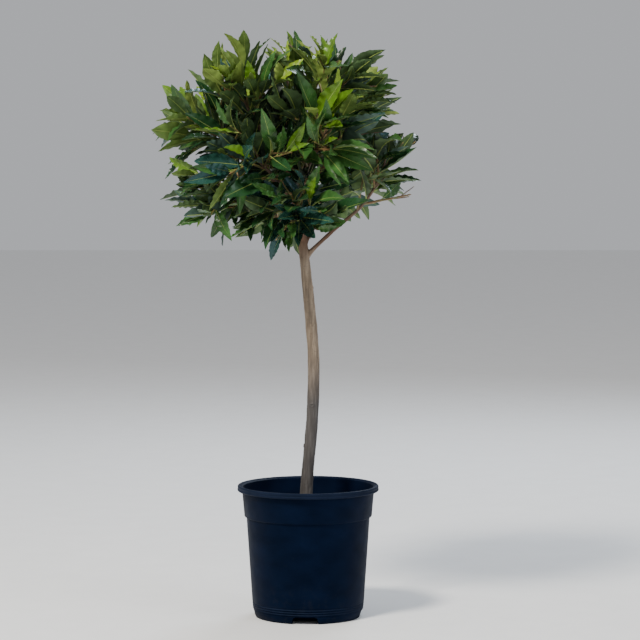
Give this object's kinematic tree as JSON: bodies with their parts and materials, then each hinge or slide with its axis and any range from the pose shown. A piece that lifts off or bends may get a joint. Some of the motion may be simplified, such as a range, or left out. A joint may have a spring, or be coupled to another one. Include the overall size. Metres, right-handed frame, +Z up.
{
  "type": "standard bay tree in a nursery pot",
  "caption": "Bay tree trained on one bare slender stem, with a rounded head of narrow evergreen leaves, in a tapered black plastic pot.",
  "frame": {"origin": "middle of the flat underside of the pot", "axes": "+Z up, -Y towards the front from which the tree was pictured, +X to the viewer's right"},
  "size_m": [0.3877, 0.3633, 0.8507],
  "materials": {
    "pot": "blow-moulded black plastic with a slight blue sheen",
    "compost": "dark crumbly potting compost",
    "bark": "smooth grey-brown young bark",
    "foliage": "leathery glossy evergreen leaf"
  },
  "bodies": {
    "root": {"pot": "pot", "compost": "compost", "trunk": "bark", "bough_left": "bark", "bough_upper_left": "bark", "bough_upper_right": "bark", "bough_right": "bark", "bough_low_right": "bark", "bough_lower_left": "bark", "bough_low_front": "bark", "bough_front_left": "bark", "bough_front_right": "bark", "bough_back_left": "bark", "bough_back_right": "bark", "bough_back_low": "bark", "bough_low_back_right": "bark", "foliage_left": "foliage", "foliage_upper_left": "foliage", "foliage_top": "foliage", "foliage_upper_right": "foliage", "foliage_right": "foliage", "foliage_low_right": "foliage", "foliage_lower_left": "foliage", "foliage_low_front": "foliage", "foliage_front_left": "foliage", "foliage_front_right": "foliage", "foliage_back_left": "foliage", "foliage_back_right": "foliage", "foliage_back_low": "foliage", "foliage_low_back_right": "foliage"}
  },
  "joints": []
}
